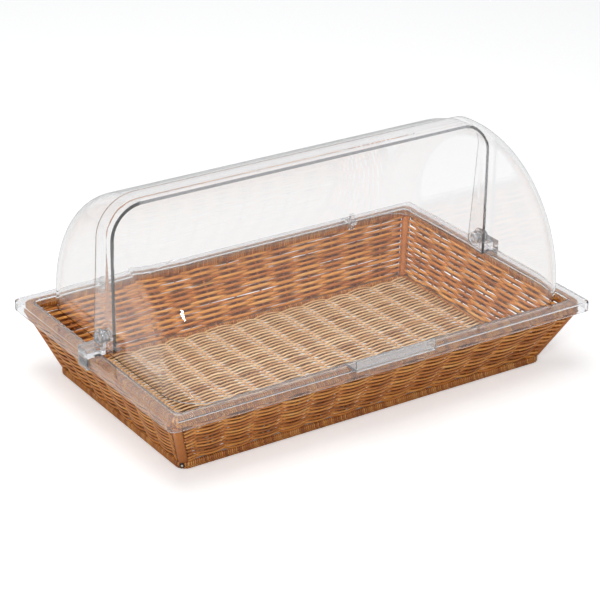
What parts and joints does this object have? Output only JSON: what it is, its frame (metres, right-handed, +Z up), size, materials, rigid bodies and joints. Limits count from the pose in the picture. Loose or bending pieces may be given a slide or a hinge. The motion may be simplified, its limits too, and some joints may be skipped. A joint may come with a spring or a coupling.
{
  "type": "rectangular serving basket with roll-top cover",
  "caption": "Rectangular woven serving basket with leaning walls, carrying a clear frame with a fixed rear shell and a front shell that rolls back on side pivots.",
  "frame": {"origin": "on the surface the basket stands on, below the middle of the cover frame", "axes": "+X along the long side to the right, +Y to the fixed rear shell, +Z up; the handle is at -Y"},
  "size_m": [0.57, 0.368, 0.2675],
  "materials": {
    "wall_strand": "woven flat strands of brown polypropylene cane",
    "floor_strand": "woven round strands of honey polypropylene cane",
    "border_strand": "wrapped strand of brown polypropylene cane",
    "post_strand": "smooth thick strand of brown polypropylene cane",
    "stake_strand": "round strand of brown polypropylene cane",
    "steel_wire": "bright drawn wire",
    "clear_shell": "clear moulded polycarbonate",
    "clear_frame": "clear moulded polycarbonate",
    "clear_fitting": "clear moulded polycarbonate"
  },
  "bodies": {
    "basket": {"rim_border": "border_strand", "foot_border": "border_strand", "rim_wire": "steel_wire", "foot_wire": "steel_wire", "floor_weave": "floor_strand", "floor_stakes": "stake_strand", "front_left_post": "post_strand", "front_right_post": "post_strand", "rear_left_post": "post_strand", "rear_right_post": "post_strand", "front_weave": "wall_strand", "rear_weave": "wall_strand", "left_weave": "wall_strand", "right_weave": "wall_strand", "front_stakes": "stake_strand", "rear_stakes": "stake_strand", "left_stakes": "stake_strand", "right_stakes": "stake_strand"},
    "cover": {"cover_frame": "clear_frame", "rear_shell": "clear_shell", "left_hinge_bracket": "clear_fitting", "left_pivot_pin": "clear_fitting", "left_pin_cap": "clear_fitting", "left_spacer": "clear_fitting", "left_rear_clip": "clear_fitting", "right_hinge_bracket": "clear_fitting", "right_pivot_pin": "clear_fitting", "right_pin_cap": "clear_fitting", "right_spacer": "clear_fitting", "right_rear_clip": "clear_fitting"},
    "front_cover": {"front_shell": "clear_shell", "front_handle": "clear_fitting"}
  },
  "joints": [
    {"name": "cover_lift", "type": "slide", "parent": "basket", "child": "cover", "axis": [0, 0, 1], "range_m": [0, 0.15]},
    {"name": "front_roll", "type": "hinge", "parent": "cover", "child": "front_cover", "pos_m": [0, 0.004, 0.1055], "axis": [-1, 0, 0], "range_deg": [0, 85]}
  ]
}
